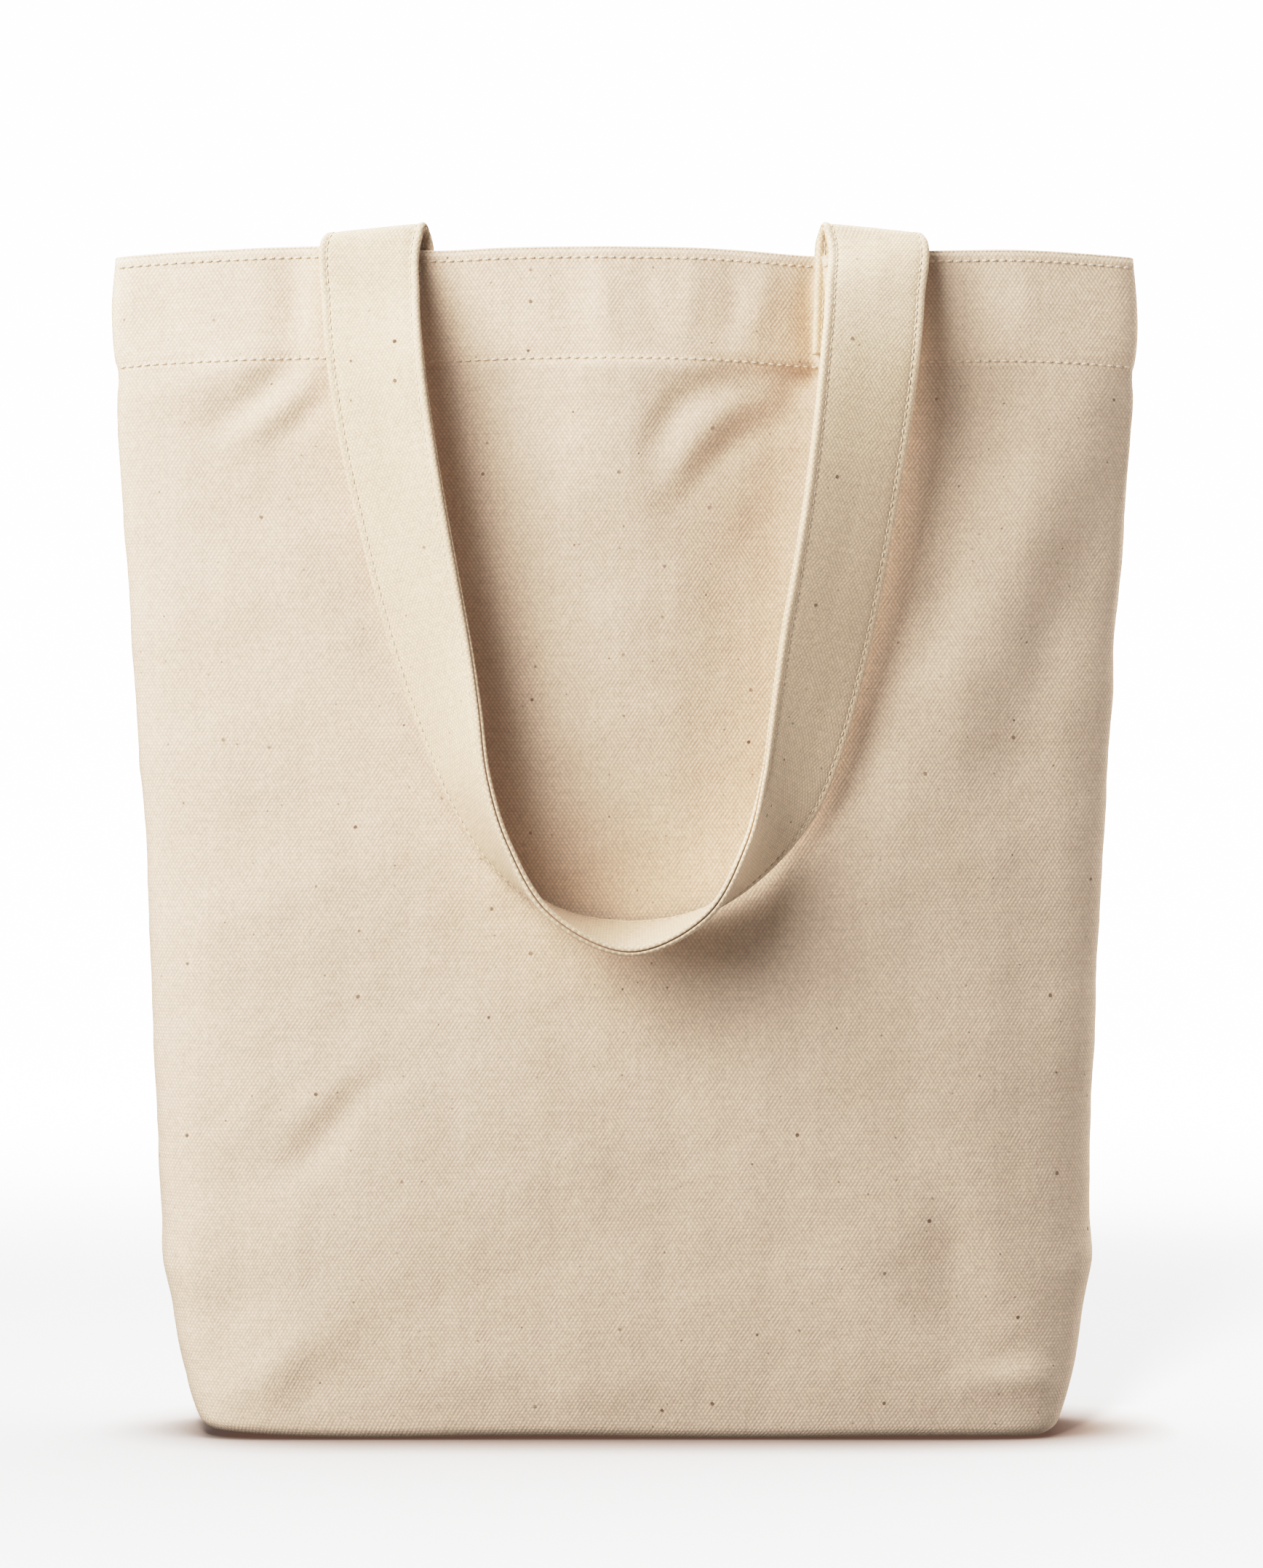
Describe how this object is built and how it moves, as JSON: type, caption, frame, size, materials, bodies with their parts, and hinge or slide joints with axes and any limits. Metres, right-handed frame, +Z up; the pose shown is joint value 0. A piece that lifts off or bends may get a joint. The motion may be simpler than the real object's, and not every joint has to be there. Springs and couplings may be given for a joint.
{
  "type": "tote bag",
  "caption": "Open canvas tote bag with a boxed bottom, a turned hem and flat fabric handles hanging over its faces.",
  "frame": {"origin": "middle of the bottom, on the floor", "axes": "+Z up to the mouth, -Y out of the front wall, +X to the right seen from the front"},
  "size_m": [0.38, 0.1336, 0.4416],
  "materials": {
    "canvas": "matt natural plain-weave canvas",
    "strap": "matt natural plain-weave canvas, four layers",
    "thread": "matt natural thread"
  },
  "bodies": {
    "bag_base": {"bottom_panel": "canvas", "right_gusset": "canvas", "left_gusset": "canvas", "right_side_seam": "canvas", "left_side_seam": "canvas", "right_corner_seam": "canvas", "left_corner_seam": "canvas"},
    "front_wall": {"front_panel": "canvas", "front_hem": "canvas", "front_hem_top_stitch": "thread", "front_hem_lower_stitch": "thread", "front_left_tail": "strap", "front_right_tail": "strap", "front_left_tail_stitch": "thread", "front_right_tail_stitch": "thread", "front_left_fold": "strap", "front_right_fold": "strap"},
    "front_handle": {"front_handle_strap": "strap", "front_handle_inner_stitch": "thread", "front_handle_outer_stitch": "thread"},
    "back_wall": {"back_panel": "canvas", "back_hem": "canvas", "back_hem_top_stitch": "thread", "back_hem_lower_stitch": "thread", "back_left_tail": "strap", "back_right_tail": "strap", "back_left_tail_stitch": "thread", "back_right_tail_stitch": "thread", "back_left_fold": "strap", "back_right_fold": "strap"},
    "back_handle": {"back_handle_strap": "strap", "back_handle_inner_stitch": "thread", "back_handle_outer_stitch": "thread"}
  },
  "joints": [
    {"name": "front_open", "type": "hinge", "parent": "bag_base", "child": "front_wall", "pos_m": [0, -0.038, 0.0006], "axis": [1, 0, 0], "range_deg": [0, 3]},
    {"name": "front_handle_swing", "type": "hinge", "parent": "front_wall", "child": "front_handle", "pos_m": [0, -0.013, 0.442], "axis": [-1, 0, 0], "range_deg": [0, 155], "deforming": ["front_left_fold", "front_right_fold"]},
    {"name": "back_open", "type": "hinge", "parent": "bag_base", "child": "back_wall", "pos_m": [0, 0.038, 0.0006], "axis": [-1, 0, 0], "range_deg": [0, 3]},
    {"name": "back_handle_swing", "type": "hinge", "parent": "back_wall", "child": "back_handle", "pos_m": [0, 0.013, 0.442], "axis": [1, 0, 0], "range_deg": [0, 155], "deforming": ["back_left_fold", "back_right_fold"]}
  ]
}
